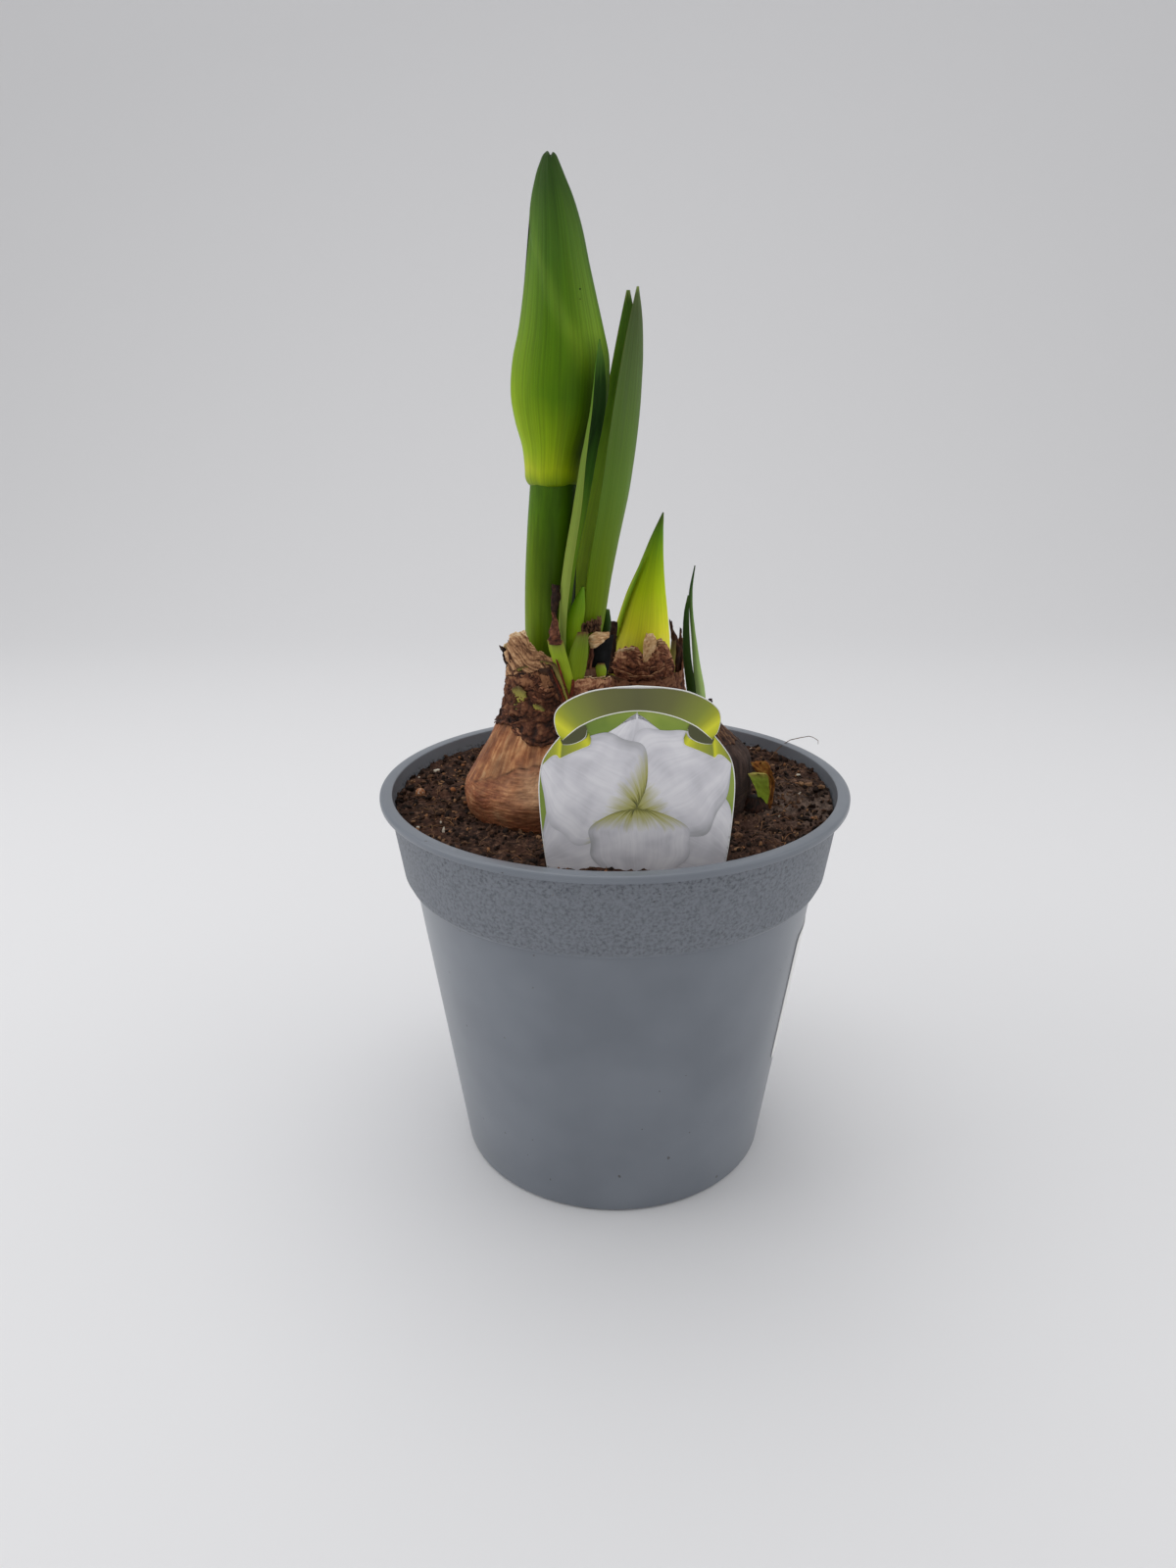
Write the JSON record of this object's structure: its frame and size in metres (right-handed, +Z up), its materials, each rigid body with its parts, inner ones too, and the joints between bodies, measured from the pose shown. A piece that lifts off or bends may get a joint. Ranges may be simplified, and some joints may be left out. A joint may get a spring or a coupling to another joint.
{
  "type": "potted amaryllis",
  "caption": "Amaryllis bulbs sprouting in a round grey grower's pot, with one tall flower bud, strap leaves, dry torn bulb skins, soil and a flat plant label.",
  "frame": {"origin": "middle of the pot's foot, on the surface it stands on", "axes": "+Z up along the pot's axis, -Y towards the side the label faces, +X to the right as seen from there"},
  "size_m": [0.17, 0.17, 0.3486],
  "materials": {
    "pot_plastic": "matt moulded collar, satin rim and lower body",
    "sticker_film": "satin white film",
    "label_plastic": "satin printed plastic",
    "soil_peat": "rough crumbly peat",
    "bulb_skin": "dry thin skin, satin on the shoulder",
    "root_flesh": "matt fleshy root",
    "leaf_green": "satin leaf",
    "leaf_dark": "satin leaf",
    "leaf_lime": "satin young leaf",
    "stalk_green": "satin fleshy stalk",
    "bud_green": "satin bud with a thin bloom",
    "scale_green": "satin fleshy scale",
    "scale_pale": "matt drying scale",
    "skin_brown": "papery wrinkled dry skin",
    "skin_tan": "papery wrinkled dry skin",
    "skin_cream": "papery dry skin",
    "skin_rust": "papery dry skin",
    "bulb_dark": "matt dark outer scale"
  },
  "bodies": {
    "root": {"pot": "pot_plastic", "pot_sticker": "sticker_film", "plant_label": "label_plastic", "soil": "soil_peat", "bulb_left": "bulb_skin", "bulb_back": "bulb_skin", "bulb_right": "bulb_skin", "offset_bulb": "bulb_dark", "roots_left": "root_flesh", "roots_back": "root_flesh", "roots_right": "root_flesh", "flower_stalk": "stalk_green", "flower_bud": "bud_green", "leaf_narrow": "leaf_green", "leaf_rear": "leaf_dark", "leaf_wide": "leaf_dark", "leaf_lime": "leaf_lime", "leaf_thin_left": "leaf_dark", "leaf_thin_right": "leaf_green", "scale_front_left": "scale_green", "scale_front_right": "scale_green", "scale_front_stub": "scale_green", "scale_back_stub": "scale_green", "scale_back_right": "scale_green", "scale_back_edge": "scale_pale", "offset_scale": "scale_green", "offset_skin": "skin_rust", "tunic_left_neck": "skin_brown", "tunic_left_collar": "skin_tan", "tunic_left_fringe": "skin_brown", "tunic_back_collar": "skin_brown", "tunic_back_flap": "skin_brown", "tunic_back_curl": "skin_cream", "tunic_right_collar": "skin_brown", "scale_dry_tip": "skin_rust", "tunic_left_fold_outer": "skin_rust", "tunic_left_fold_inner": "skin_rust", "tunic_back_chip": "skin_cream"}
  },
  "joints": []
}
